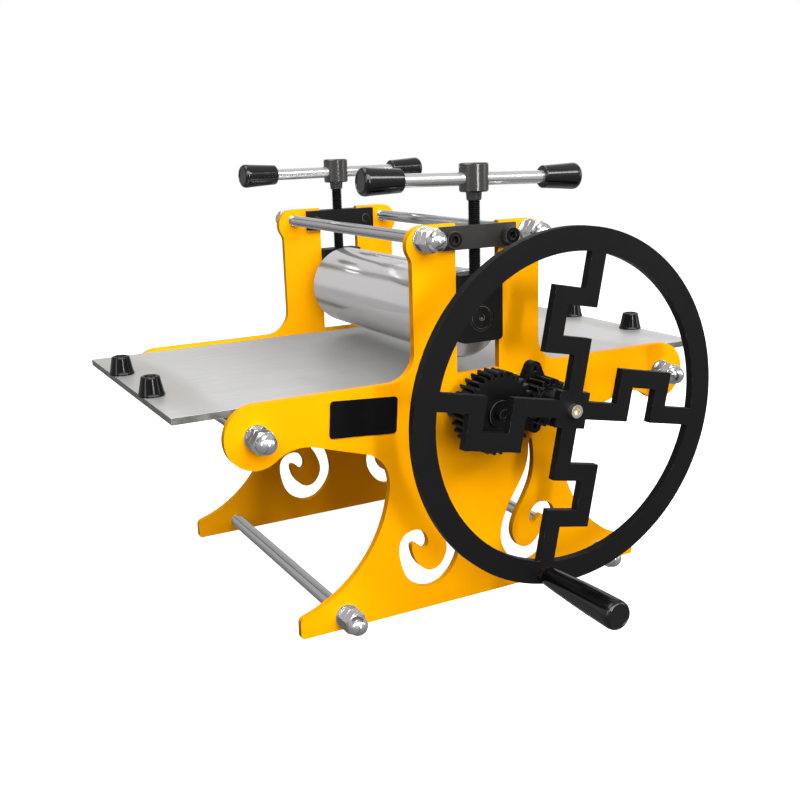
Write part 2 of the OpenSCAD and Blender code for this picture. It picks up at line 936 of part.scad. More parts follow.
module crank_shaft() {
    inner_l = plate_t + flange_inside + body_gap + collar_h + 1;
    color(steel)
        placed()
            at_front(crank_x, crank_z)
                difference() {
                    translate([0, 0, -inner_l]) cylinder(r = crank_d / 2, h = inner_l + wheel_back);
                    key_block(crank_d / 2, key_play);
                    end_hole(wheel_back);
                }
}

module pinion_gear() {
    hub_l = wheel_back - gear_front;
    pinion_hub_r = 13;
    color("#4a4c4f")
        placed()
            at_front(crank_x, crank_z)
                difference() {
                    union() {
                        translate([0, 0, gear_front]) rotate([0, 0, 180 / pinion_n + mesh_turn]) spur_gear(pinion_n);
                        translate([0, 0, gear_front]) cylinder(r = pinion_hub_r, h = hub_l);
                    }
                    translate([0, 0, gear_front - overlap])
                        cylinder(r = crank_d / 2 + press_play, h = hub_l + 2 * overlap);
                    key_block(crank_d / 2, key_play);
                    at_dowels() cylinder(r = dowel_r + press_play, h = wheel_back);
                }
}

// Children stand on the wheel's back face's side of each dowel, along +Z
module at_dowels() {
    for (turn = [45, 225])
        rotate([0, 0, turn - wheel_turn])
            translate([dowel_at, 0, wheel_back - dowel_sunk]) children();
}

module pinion_key() {
    color(steel) placed() at_front(crank_x, crank_z) key_block(crank_d / 2, 0);
}

module crank_collar() {
    color(black)
        placed()
            at_front(crank_x, crank_z)
                translate([0, 0, -plate_t - flange_inside - body_gap - collar_h])
                    difference() {
                        cylinder(r = 13, h = collar_h);
                        translate([0, 0, -overlap])
                            cylinder(r = crank_d / 2 + press_play, h = collar_h + 2 * overlap);
                    }
}

// The top spoke in the wheel's own upright position: two straight runs and a step to the left
module spoke() {
    translate([-spoke_half, 0]) square([2 * spoke_half, step_r[1]]);
    translate([-step_side[1], step_r[0]]) square([step_side[1] + spoke_half, step_r[1] - step_r[0]]);
    translate([-step_side[1], step_r[0]]) square([step_side[1] - step_side[0], step_r[3] - step_r[0]]);
    translate([-step_side[1], step_r[2]]) square([step_side[1] + spoke_half, step_r[3] - step_r[2]]);
    translate([-spoke_half, step_r[2]]) square([2 * spoke_half, rim_r - step_r[2] + overlap]);
}

module hand_wheel() {
    color(black)
        placed()
            at_front(crank_x, crank_z)
                rotate([0, 0, -wheel_turn])
                    difference() {
                        translate([0, 0, wheel_back])
                            linear_extrude(wheel_t) {
                                difference() {
                                    circle(wheel_r, $fn = 180);
                                    circle(rim_r, $fn = 180);
                                }
                                for (turn = [0, 90, 180, 270]) rotate(turn) spoke();
                                square(2 * hub_half, center = true);
                            }
                        cylinder(r = end_screw_r + 0.2, h = wheel_front + overlap);
                        translate([0, -handle_r, 0])
                            cylinder(r = spindle_r + 0.1, h = wheel_front + overlap);
                        rotate([0, 0, wheel_turn]) at_dowels() cylinder(r = dowel_r + press_play, h = dowel_l);
                    }
}

module wheel_dowels() {
    color(steel) placed() at_front(crank_x, crank_z) at_dowels() cylinder(r = dowel_r, h = dowel_l - 0.1);
}

module hub_screw() {
    color(zinc)
        placed()
            at_front(crank_x, crank_z)
                translate([0, 0, wheel_front])
                    socket_screw(5.35, 6, end_screw_r, wheel_t + end_screw_l - 2, 5);
}

// Spindle with a hex shoulder against the rim and a head that holds the grip
module handle_spindle() {
    back_l = nut_l + 1;
    head_at = wheel_front + shoulder_l + spindle_l - spindle_head[1];
    color(steel)
        placed()
            at_front(handle_x, handle_z) {
                translate([0, 0, wheel_front]) cylinder(r = 7, h = shoulder_l, $fn = 6);
                translate([0, 0, wheel_back - back_l])
                    cylinder(r = spindle_r, h = back_l + wheel_t + shoulder_l + spindle_l);
                translate([0, 0, head_at]) cylinder(r = spindle_head[0], h = spindle_head[1]);
            }
}

module spindle_nut() {
    color(zinc)
        placed()
            at_front(handle_x, handle_z)
                translate([0, 0, wheel_back - nut_l])
                    difference() {
                        hex_solid(13, nut_l);
                        translate([0, 0, -overlap]) cylinder(r = spindle_r + press_play, h = nut_l + 2 * overlap);
                    }
}

module handle_grip() {
    bore_l = spindle_l - body_gap - spindle_head[1];
    color(black)
        placed()
            at_front(handle_x, handle_z)
                translate([0, 0, wheel_front + shoulder_l + body_gap])
                    difference() {
                        knob(grip_l, 8, grip_d / 2, 4.5, spindle_r + 0.07, bore_l);
                        translate([0, 0, bore_l - body_gap])
                            cylinder(r = spindle_head[0] + 0.1, h = spindle_head[1] + 2 * body_gap);
                    }
}

side_plate_near();
side_plate_far();
label_plate();
top_rods();
arm_rods();
foot_rods();
rod_washers();
rod_nuts();
acorn_nuts();
crosshead_near();
crosshead_far();
crosshead_bolts();
roller_flange_near();
roller_flange_far();
crank_flange();
flange_bolts();
block_near();
block_far();
bush_near();
bush_far();
keeper_pins();
upper_roller();
pressure_screw_near();
t_hub_near();
t_bar_near();
t_knobs_near();
pressure_screw_far();
t_hub_far();
t_bar_far();
t_knobs_far();
lower_roller();
drive_gear();
gear_key();
gear_washer();
gear_screw();
bed_plate();
bumpers();
bumper_screws();
crank_shaft();
pinion_gear();
pinion_key();
crank_collar();
hand_wheel();
wheel_dowels();
hub_screw();
handle_spindle();
spindle_nut();
handle_grip();
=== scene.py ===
import bpy
import bmesh
import json
from math import radians
from mathutils import Matrix, Vector

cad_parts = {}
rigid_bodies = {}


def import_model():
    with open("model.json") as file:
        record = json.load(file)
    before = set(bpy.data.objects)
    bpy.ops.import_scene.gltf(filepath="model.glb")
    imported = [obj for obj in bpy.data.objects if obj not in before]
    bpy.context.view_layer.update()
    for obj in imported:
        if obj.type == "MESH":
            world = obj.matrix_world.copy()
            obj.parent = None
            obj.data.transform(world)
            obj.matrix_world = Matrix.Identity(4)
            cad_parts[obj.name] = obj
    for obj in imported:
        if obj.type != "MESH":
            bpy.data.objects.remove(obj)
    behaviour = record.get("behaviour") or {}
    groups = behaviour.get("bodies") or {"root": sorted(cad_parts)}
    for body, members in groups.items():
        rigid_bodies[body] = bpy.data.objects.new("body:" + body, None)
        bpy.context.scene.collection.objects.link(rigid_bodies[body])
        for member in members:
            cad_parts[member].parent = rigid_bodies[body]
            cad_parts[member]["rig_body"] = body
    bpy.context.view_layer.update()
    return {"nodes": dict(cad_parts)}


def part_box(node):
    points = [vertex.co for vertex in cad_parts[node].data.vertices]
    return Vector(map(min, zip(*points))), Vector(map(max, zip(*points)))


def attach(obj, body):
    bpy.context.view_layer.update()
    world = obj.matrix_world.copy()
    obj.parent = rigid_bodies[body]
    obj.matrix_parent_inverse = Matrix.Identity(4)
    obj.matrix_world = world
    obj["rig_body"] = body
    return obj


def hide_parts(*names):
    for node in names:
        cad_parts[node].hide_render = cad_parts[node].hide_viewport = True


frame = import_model()
bodyOf = {node: obj["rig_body"] for node, obj in frame["nodes"].items()}
print("frame loaded:", len(bodyOf), "nodes")


view = {
    "place": (-0.44099, -0.77403, 0.38294),
    "down": 14.155,  # degrees below the horizon
    "aside": -28.045,  # degrees, counted to the left
    "roll": -1.669,  # degrees
    "lens": 47.259,
    "sensor": 36,
    "clip": (0.01, 60),
}

studio = {
    "floorSize": 9,
    "floorColour": (0.84, 0.88, 0.92),
    "floorSpeck": 0.985,  # the paper's specks are this much darker
    "floorGlow": 0.97,
    "glowColour": (0.90, 0.96, 1.0, 1),
    # what the metal sees round it, from straight down (0) to straight up (1)
    "around": [
        (0.0, 0.42), (0.30, 0.50), (0.46, 0.62), (0.50, 0.90), (0.76, 0.95),
        (0.785, 0.30), (0.815, 0.30), (0.84, 0.95), (1.0, 0.85),
    ],
    # and from left (0) to right (1): a narrow dark flag that draws the line along the roller
    "flag": [(0.0, 1.0), (0.362, 1.0), (0.374, 0.03), (0.404, 0.03), (0.430, 0.92), (1.0, 1.0)],
    "aroundLevel": 0.72,
    "softColour": (1.0, 0.50, 0.28, 1),
    "softLevel": 0.13,
    "unmirrored": "boxBack",  # this soft box would draw a white band on the roller
}

softBoxes = [
    # name, place, looks at, width, height, watts, colour
    ("boxKey", (-0.5, -1.55, 1.6), (0, 0, 0.15), 2.4, 1.3, 65, (1.0, 0.99, 0.97)),
    ("boxLeft", (-2.2, -0.6, 1.0), (0, 0, 0.2), 0.5, 1.2, 10, (1.0, 1.0, 1.0)),
    ("boxTop", (-0.5, 0.5, 2.0), (0, 0, 0.1), 1.6, 1.0, 14, (1.0, 1.0, 1.0)),
    ("boxRight", (1.9, -1.1, 0.9), (0, 0, 0.15), 0.6, 1.3, 9, (0.98, 0.99, 1.0)),
    ("boxStrip", (0.8, -1.35, 1.25), (0, 0, 0.3), 0.5, 0.45, 9, (1.0, 1.0, 1.0)),
    ("boxFront", (0.02, -1.88, 0.48), (-0.22, 0, 0.2), 0.16, 0.6, 11, (1.0, 1.0, 1.0)),
    ("boxBack", (0.3, 2.1, 1.4), (0, 0, 0.15), 1.5, 0.8, 7, (1.0, 1.0, 1.0)),
    ("boxCorner", (1.1, 1.25, 1.2), (0.25, 0, 0.19), 1.2, 0.8, 2, (1.0, 1.0, 1.0)),
]


def turnAbout(axis, degrees):
    return Matrix.Rotation(radians(degrees), 4, axis)


def makeCamera():
    lens = bpy.data.cameras.new("photoLens")
    lens.lens = view["lens"]
    lens.sensor_width = view["sensor"]
    lens.clip_start, lens.clip_end = view["clip"]
    camera = bpy.data.objects.new("photoCamera", lens)
    bpy.context.scene.collection.objects.link(camera)
    aim = turnAbout("Z", view["aside"]) @ turnAbout("X", 90 - view["down"])
    camera.matrix_world = Matrix.Translation(view["place"]) @ aim @ turnAbout("Z", view["roll"])
    bpy.context.scene.camera = camera
    bpy.context.scene.view_settings.view_transform = "Standard"


def makeFloor():
    clearSelection()
    bpy.ops.mesh.primitive_plane_add(size=studio["floorSize"], location=(0, 0, 0))
    floor = bpy.context.object
    floor.name = "studioFloor"
    # no bounce from below: the far plate stays dark under the bed, as in the photo
    floor.visible_diffuse = False
    floor.visible_glossy = False
    paper = newMaterial("studioPaper")
    grain = place(paper, "ShaderNodeTexNoise", (-500, 0), {"Scale": 30.0, "Detail": 4.0})
    colour = studio["floorColour"]
    tone = blendColour(paper, (-260, 0), grain.outputs["Fac"], colour, scaled(colour, studio["floorSpeck"]))
    finishMaterial(paper, {
        "Base Color": tone, "Roughness": 0.95, "Specular IOR Level": 0.0,
        "Emission Color": studio["glowColour"], "Emission Strength": studio["floorGlow"],
    })
    floor.data.materials.append(paper)


def shine(world, at, colour, level):
    return place(world, "ShaderNodeBackground", at, {"Color": colour, "Strength": level}).outputs[0]


def makeAir():
    world = bpy.data.worlds.new("studioAir")
    bpy.context.scene.world = world
    world.use_nodes = True
    world.node_tree.nodes.clear()
    direction = place(world, "ShaderNodeTexCoord", (-900, 0)).outputs["Generated"]
    split = place(world, "ShaderNodeSeparateXYZ", (-720, 0), {0: direction})
    ramps = []
    for axis, name, down in (("Z", "around", 0), ("X", "flag", -260)):
        level = rescale(world, (-540, down), split.outputs[axis], -1.0, 1.0)
        ramp = place(world, "ShaderNodeValToRGB", (-340, down), {"Fac": level})
        stops = ramp.color_ramp.elements
        for position, grey in studio[name][1:-1]:
            stops.new(position)
        for stop, (position, grey) in zip(stops, studio[name]):
            stop.position = position
            stop.color = (grey, grey, grey, 1)
        ramps.append(ramp.outputs["Color"])
    seen = place(world, "ShaderNodeVectorMath", (-60, 120), {0: ramps[0], 1: ramps[1]}, operation="MULTIPLY")
    around = shine(world, (120, 60), seen.outputs[0], studio["aroundLevel"])
    behind = shine(world, (-40, -80), (1, 1, 1, 1), 1.0)
    # soft light is warm, as if it came back from the plates; mirror images stay neutral
    warm = shine(world, (-40, -220), studio["softColour"], studio["softLevel"])
    path = place(world, "ShaderNodeLightPath", (-40, 300)).outputs
    soft = place(world, "ShaderNodeMixShader", (180, -120), {0: path["Is Diffuse Ray"], 1: around, 2: warm})
    mix = place(world, "ShaderNodeMixShader", (360, 0), {
        0: path["Is Camera Ray"], 1: soft.outputs[0], 2: behind,
    })
    place(world, "ShaderNodeOutputWorld", (560, 0), {0: mix.outputs[0]})


def makeSoftBoxes():
    for name, spot, target, width, height, power, colour in softBoxes:
        box = bpy.data.lights.new(name, "AREA")
        box.shape = "RECTANGLE"
        box.size = width
        box.size_y = height
        box.energy = power
        box.color = colour
        lamp = bpy.data.objects.new(name, box)
        bpy.context.scene.collection.objects.link(lamp)
        lamp.location = spot
        lamp.rotation_euler = (Vector(target) - Vector(spot)).to_track_quat("-Z", "Y").to_euler()
        lamp.visible_glossy = name != studio["unmirrored"]


def clearSelection():
    bpy.ops.object.select_all(action="DESELECT")


def selectOnly(*pieces):
    # the first piece becomes the active one
    clearSelection()
    for piece in pieces:
        piece.select_set(True)
    bpy.context.view_layer.objects.active = pieces[0]


def startEditing(piece, kind="FACE"):
    selectOnly(piece)
    bpy.ops.object.mode_set(mode="EDIT")
    bpy.ops.mesh.select_mode(type=kind)
    bpy.ops.mesh.select_all(action="DESELECT")


def stopEditing():
    bpy.ops.object.mode_set(mode="OBJECT")


def pickFaces(piece, test):
    shape = bmesh.from_edit_mesh(piece.data)
    for face in shape.faces:
        face.select_set(bool(test(face.calc_center_median(), face.normal)))
    bmesh.update_edit_mesh(piece.data)


def pickEdges(piece, test):
    shape = bmesh.from_edit_mesh(piece.data)
    for edge in shape.edges:
        edge.select_set(bool(test(edge.verts[0].co, edge.verts[1].co)))
    bmesh.update_edit_mesh(piece.data)


def smoothPiece(piece, angle):
    selectOnly(piece)
    bpy.ops.object.shade_smooth_by_angle(angle=radians(angle))


def joinPieces(first, *others):
    selectOnly(first, *others)
    bpy.ops.object.join()
    return first


def dress(piece, material, body):
    piece.data.materials.clear()
    piece.data.materials.append(material)
    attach(piece, body)


easing = {
    "weld": 0.000002,
    "flat": 0.3,  # degrees: faces that differ by less become one
    "sharp": 32,  # degrees: edges that turn by more are rounded
    "steps": 2,
    "strip": 0.0006,  # how narrow the faces of a rounded edge are, for each mm of rounding
    "smooth": 35,
    "weight": 80,
}


def markEdges(piece, ease):
    # the narrow faces that the bevel made carry the value 1, for wear in the materials
    flags = []
    for face in piece.data.polygons:
        corners = [piece.data.vertices[index].co for index in face.vertices]
        around = sum((a - b).length for a, b in zip(corners, corners[1:] + corners[:1]))
        narrow = face.area < around * ease * easing["strip"]
        flags.append(1.0 if face.select and narrow else 0.0)
    rubbed = piece.data.attributes.new("rubbed", "FLOAT", "FACE")
    rubbed.data.foreach_set("value", flags)


def evenNormals(piece):
    # big flat faces keep their own normal, so the light runs straight across them
    selectOnly(piece)
    even = piece.modifiers.new("even", "WEIGHTED_NORMAL")
    even.mode = "FACE_AREA"
    even.weight = easing["weight"]
    even.keep_sharp = True
    bpy.ops.object.modifier_apply(modifier="even")


def easedCopy(node, material, ease):
    # a copy of a CAD node with its sharp edges rounded by ease, in mm
    source = frame["nodes"][node]
    piece = bpy.data.objects.new(node + "_eased", source.data.copy())
    bpy.context.scene.collection.objects.link(piece)
    startEditing(piece)
    bpy.ops.mesh.select_all(action="SELECT")
    bpy.ops.mesh.customdata_custom_splitnormals_clear()
    bpy.ops.mesh.remove_doubles(threshold=easing["weld"])
    bpy.ops.mesh.dissolve_limited(angle_limit=radians(easing["flat"]))
    bpy.ops.mesh.select_mode(type="EDGE")
    bpy.ops.mesh.select_all(action="DESELECT")
    bpy.ops.mesh.edges_select_sharp(sharpness=radians(easing["sharp"]))
    bpy.ops.mesh.bevel(
        offset=ease / 1000, segments=easing["steps"], profile=0.5, affect="EDGES", clamp_overlap=True
    )
    stopEditing()
    markEdges(piece, ease)
    smoothPiece(piece, easing["smooth"])
    evenNormals(piece)
    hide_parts(node)
    dress(piece, material, bodyOf[node])
    return piece


def turnedPiece(name, outline, spot, sides, turn=None):
    # a round piece grown from a disc along its axis; outline is (distance, radius) in mm
    start, firstRadius = outline[0]
    clearSelection()
    bpy.ops.mesh.primitive_circle_add(
        vertices=sides, radius=firstRadius / 1000, fill_type="NGON", location=(0, 0, 0)
    )
    piece = bpy.context.object
    piece.name = name
    startEditing(piece)
    bpy.ops.mesh.select_all(action="SELECT")
    for (before, wide), (after, narrow) in zip(outline, outline[1:]):
        step = (after - before) / 1000
        bpy.ops.mesh.extrude_region_move(TRANSFORM_OT_translate={"value": (0, 0, step)})
        if narrow != wide:
            centre = (0, 0, (after - start) / 1000)
            bpy.ops.transform.resize(value=(narrow / wide, narrow / wide, 1), center_override=centre)
    bpy.ops.mesh.select_all(action="SELECT")
    bpy.ops.mesh.normals_make_consistent(inside=False)
    stopEditing()
    lifted = Matrix.Translation((0, 0, start / 1000))
    piece.data.transform(Matrix.Translation(spot) @ (turn or Matrix()) @ lifted)
    return piece


def threadedRod(name, spot, length, form):
    # one turn's profile swept up a helix, then cut flat and closed at both ends
    pitch = form["pitch"]
    clearSelection()
    bpy.ops.mesh.primitive_plane_add(location=(0, 0, 0))
    rod = bpy.context.object
    rod.name = name
    startEditing(rod, "EDGE")
    shape = bmesh.from_edit_mesh(rod.data)
    ring = list(shape.faces[:][0].verts)
    for vert, (radius, rise) in zip(ring, form["profile"]):
        vert.co = (radius / 1000, 0, (rise - form["spare"]) * pitch / 1000)
    bmesh.update_edit_mesh(rod.data)
    bpy.ops.mesh.select_all(action="SELECT")
    bpy.ops.mesh.delete(type="ONLY_FACE")
    # the edge from the profile's end back to its start goes: it alone is a whole pitch long
    pickEdges(rod, lambda a, b: abs(a.z - b.z) > 0.9 * pitch / 1000)
    bpy.ops.mesh.delete(type="EDGE")
    stopEditing()
    helix = rod.modifiers.new("helix", "SCREW")
    helix.axis = "Z"
    helix.screw_offset = pitch / 1000
    helix.iterations = int(length / pitch) + form["extraTurns"]
    helix.steps = helix.render_steps = form["steps"]
    helix.use_merge_vertices = True
    helix.merge_threshold = form["weld"]
    bpy.ops.object.modifier_apply(modifier="helix")
    startEditing(rod)
    bpy.ops.mesh.select_all(action="SELECT")
    bpy.ops.mesh.remove_doubles(threshold=form["weld"])
    bpy.ops.mesh.bisect(plane_co=(0, 0, 0), plane_no=(0, 0, 1), use_fill=True, clear_inner=True)
    bpy.ops.mesh.select_all(action="SELECT")
    top = (0, 0, length / 1000)
    bpy.ops.mesh.bisect(plane_co=top, plane_no=(0, 0, 1), use_fill=True, clear_outer=True)
    bpy.ops.mesh.select_all(action="SELECT")
    bpy.ops.mesh.normals_make_consistent(inside=False)
    stopEditing()
    rod.data.transform(Matrix.Translation(spot))
    return rod


def place(owner, kind, at, inputs=None, **settings):
    # a shader node; each input is a value or another node's socket
    tree = owner.node_tree if hasattr(owner, "node_tree") else owner
    node = tree.nodes.new(kind)
    node.location = at
    for name, value in settings.items():
        setattr(node, name, value)
    for name, value in (inputs or {}).items():
        if isinstance(value, bpy.types.NodeSocket):
            tree.links.new(value, node.inputs[name])
        else:
            node.inputs[name].default_value = value
    return node


def calculate(owner, at, operation, *values):
    node = place(owner, "ShaderNodeMath", at, dict(enumerate(values)), operation=operation)
    return node.outputs[0]


def rescale(owner, at, value, low, high, start=0.0, end=1.0, **settings):
    # a value between low and high becomes one between start and end
    node = place(owner, "ShaderNodeMapRange", at, {
        "Value": value, "From Min": low, "From Max": high, "To Min": start, "To Max": end,
    }, **settings)
    return node.outputs["Result"]


def noise(owner, at, where, size, detail, roughness=0.5, distortion=0.0):
    node = place(owner, "ShaderNodeTexNoise", at, {
        "Vector": where, "Scale": size, "Detail": detail, "Roughness": roughness, "Distortion": distortion,
    })
    return node.outputs["Fac"]


def relief(owner, at, height, strength, distance):
    node = place(owner, "ShaderNodeBump", at, {
        "Strength": strength, "Distance": distance, "Height": height,
    })
    return node.outputs[0]


def scaled(colour, factor):
    return tuple(min(1.0, part * factor) for part in colour)


def opaque(colour):
    return colour if isinstance(colour, bpy.types.NodeSocket) else (*colour, 1)


def blendColour(owner, at, factor, first, second):
    # sockets 6 and 7 are the Mix node's colours, and output 2 is their blend
    inputs = {0: factor, 6: opaque(first), 7: opaque(second)}
    return place(owner, "ShaderNodeMix", at, inputs, data_type="RGBA").outputs[2]


def newMaterial(name):
    material = bpy.data.materials.new(name)
    material.use_nodes = True
    material.node_tree.nodes.clear()
    return material


def finishMaterial(material, surface):
    # surface holds the shader's inputs
    shader = place(material, "ShaderNodeBsdfPrincipled", (0, 0), surface)
    place(material, "ShaderNodeOutputMaterial", (320, 0), {0: shader.outputs[0]})
    return material


def newGroup(name, amounts, results):
    # a node group that takes a Vector and some amounts, and gives values
    group = bpy.data.node_groups.new(name, "ShaderNodeTree")
    group.interface.new_socket(name="Vector", in_out="INPUT", socket_type="NodeSocketVector")
    for label, amount in amounts.items():
        socket = group.interface.new_socket(name=label, in_out="INPUT", socket_type="NodeSocketFloat")
        socket.default_value = amount
    for label in results:
        group.interface.new_socket(name=label, in_out="OUTPUT", socket_type="NodeSocketFloat")
    return group, place(group, "NodeGroupInput", (-900, 0)).outputs


def finishGroup(group, results):
    place(group, "NodeGroupOutput", (700, 0), results)
    return group


def useGroup(owner, group, at, inputs):
    return place(owner, "ShaderNodeGroup", at, inputs, node_tree=group).outputs


def facing(group):
    # which way the surface looks, split into its axes
    geometry = place(group, "ShaderNodeNewGeometry", (-760, 160))
    return place(group, "ShaderNodeSeparateXYZ", (-560, 160), {0: geometry.outputs["Normal"]}).outputs


def makeStreakGroup():
    # fine lines left by drawing, turning or brushing, along the direction that Vector is squeezed in
    group, entry = newGroup("toolStreaks", {"Coarse": 300.0, "Fine": 2500.0}, ["Tone", "Height"])
    broad = noise(group, (-600, 160), entry["Vector"], entry["Coarse"], 5.0, 0.7)
    fine = noise(group, (-600, -160), entry["Vector"], entry["Fine"], 2.0, 0.6)
    both = calculate(group, (-300, 0), "ADD", broad, fine)
    half = calculate(group, (-120, 0), "MULTIPLY", both, 0.5)
    crisp = rescale(group, (80, 0), half, 0.36, 0.64)
    return finishGroup(group, {"Tone": crisp, "Height": half})


def makeWearGroup():
    # rubbed edges: the bevelled faces, broken up by noise
    group, entry = newGroup("rubbedEdges", {"Amount": 0.5, "Scale": 180.0}, ["Mask"])
    flag = place(group, "ShaderNodeAttribute", (-600, 160), attribute_name="rubbed").outputs["Fac"]
    patch = noise(group, (-600, -60), entry["Vector"], entry["Scale"], 6.0, 0.65)
    lift = calculate(group, (-360, -60), "ADD", patch, entry["Amount"])
    cut = rescale(group, (-160, -60), lift, 0.92, 1.12)
    return finishGroup(group, {"Mask": calculate(group, (80, 0), "MULTIPLY", flag, cut)})


def makeDustGroup():
    # a thin veil of dust on faces that look up
    group, entry = newGroup("restingDust", {"Amount": 0.3, "Scale": 60.0}, ["Mask"])
    upward = rescale(group, (-360, 160), facing(group)["Z"], 0.25, 1.0)
    cloud = noise(group, (-560, -100), entry["Vector"], entry["Scale"], 8.0, 0.75)
    thin = rescale(group, (-360, -100), cloud, 0.42, 0.78)
    both = calculate(group, (-140, 0), "MULTIPLY", upward, thin)
    return finishGroup(group, {"Mask": calculate(group, (60, 0), "MULTIPLY", both, entry["Amount"])})


def makeHandlingGroup():
    # smudges from hands, as a roughness that changes between Low and High
    group, entry = newGroup("handlingMarks", {"Scale": 35.0, "Low": 0.2, "High": 0.4}, ["Roughness"])
    smear = noise(group, (-600, 160), entry["Vector"], entry["Scale"], 6.0, 0.6, 0.6)
    rough = rescale(group, (-300, 160), smear, 0.3, 0.7, entry["Low"], entry["High"])
    return finishGroup(group, {"Roughness": rough})


def makeRimGroup():
    # a mask of a lying plate's faces that look sideways, where it is made darker
    group, entry = newGroup("plateRims", {"Scale": 140.0}, ["Mask"])
    upright = calculate(group, (-380, 160), "ABSOLUTE", facing(group)["Z"])
    side = rescale(group, (-200, 160), upright, 0.1, 0.5, 1.0, 0.0)
    patch = noise(group, (-380, -100), entry["Vector"], entry["Scale"], 5.0)
    broken = rescale(group, (-200, -100), patch, 0.3, 0.6, 0.75, 1.0)
    return finishGroup(group, {"Mask": calculate(group, (60, 60), "MULTIPLY", side, broken)})


def makeSideShadeGroup():
    # painted shade for a standing plate's sides: a mask of the faces that look along the plate rather than
    # out of it, and not up
    group, entry = newGroup("shadedSides", {"Scale": 90.0}, ["Mask"])
    normal = facing(group)
    flat = calculate(group, (-380, 240), "ABSOLUTE", normal["Y"])
    side = rescale(group, (-200, 240), flat, 0.3, 0.75, 1.0, 0.0)
    up = rescale(group, (-380, 60), normal["Z"], 0.1, 0.9, 1.0, 0.1)
    patch = noise(group, (-380, -140), entry["Vector"], entry["Scale"], 5.0)
    broken = rescale(group, (-200, -140), patch, 0.3, 0.6, 0.6, 1.0)
    both = calculate(group, (40, 100), "MULTIPLY", side, up)
    return finishGroup(group, {"Mask": calculate(group, (240, 60), "MULTIPLY", both, broken)})


streaks = makeStreakGroup()
wear = makeWearGroup()
dust = makeDustGroup()
handling = makeHandlingGroup()
shadedSides = makeSideShadeGroup()
plateRims = makeRimGroup()

paint = {
    "patchSize": 9.0,
    "patchTone": 0.93,  # the paint is this much darker in patches
    "skinHeight": 0.0004,
}

metal = {
    "rubbedTone": 1.12,  # rubbed edges are this much brighter
    "rubbedAmount": 0.7,
    "dustColour": (0.42, 0.40, 0.37),
    "streakRoughness": 0.09,
    "streakHeight": 0.0003,
}

plastic = {
    "smudgeSize": 70.0,
    "speckTone": 1.35,  # the specks are this much brighter
    "dustColour": (0.20, 0.19, 0.18),
    "dustAmount": 0.03,
    "dustSize": 130.0,
    "grainHeight": 0.0002,
}


def onPiece(material, at):
    return place(material, "ShaderNodeTexCoord", at).outputs["Object"]


def stretched(material, at, where, stretch):
    return place(material, "ShaderNodeMapping", at, {"Vector": where, "Scale": stretch}).outputs[0]


def handled(material, at, where, roughness, **more):
    low, high = roughness
    return useGroup(material, handling, at, {"Vector": where, "Low": low, "High": high, **more})["Roughness"]


def coatedMetal(name, colour, edge, dusted, roughness, skin, skinDepth, worn, dustAmount, specular,
                coat=0.0, coatRoughness=0.1, sideShadeColour=None):
    # paint or powder coat over steel, with an orange-peel skin
    material = newMaterial(name)
    where = onPiece(material, (-1500, 0))
    rough = handled(material, (-1100, 300), where, roughness)
    rub = useGroup(material, wear, (-1100, 60), {"Vector": where, "Amount": worn})
    veil = useGroup(material, dust, (-1100, -140), {"Vector": where, "Amount": dustAmount})
    cloud = noise(material, (-1100, -340), where, paint["patchSize"], 3.0)
    shade = blendColour(material, (-800, 200), cloud, colour, scaled(colour, paint["patchTone"]))
    # painted shade: the plate's sides are darkened
    if sideShadeColour:
        cut = useGroup(material, shadedSides, (-1100, -560), {"Vector": where})
        shade = blendColour(material, (-700, 300), cut["Mask"], shade, sideShadeColour)
    edged = blendColour(material, (-600, 160), rub["Mask"], shade, edge)
    dusty = blendColour(material, (-400, 120), veil["Mask"], edged, dusted)
    peel = noise(material, (-800, -340), where, skin, 2.0)
    bump = relief(material, (-400, -300), peel, skinDepth, paint["skinHeight"])
    return finishMaterial(material, {
        "Base Color": dusty, "Roughness": rough, "Normal": bump,
        "Coat Weight": coat, "Coat Roughness": coatRoughness, "Specular IOR Level": specular,
    })


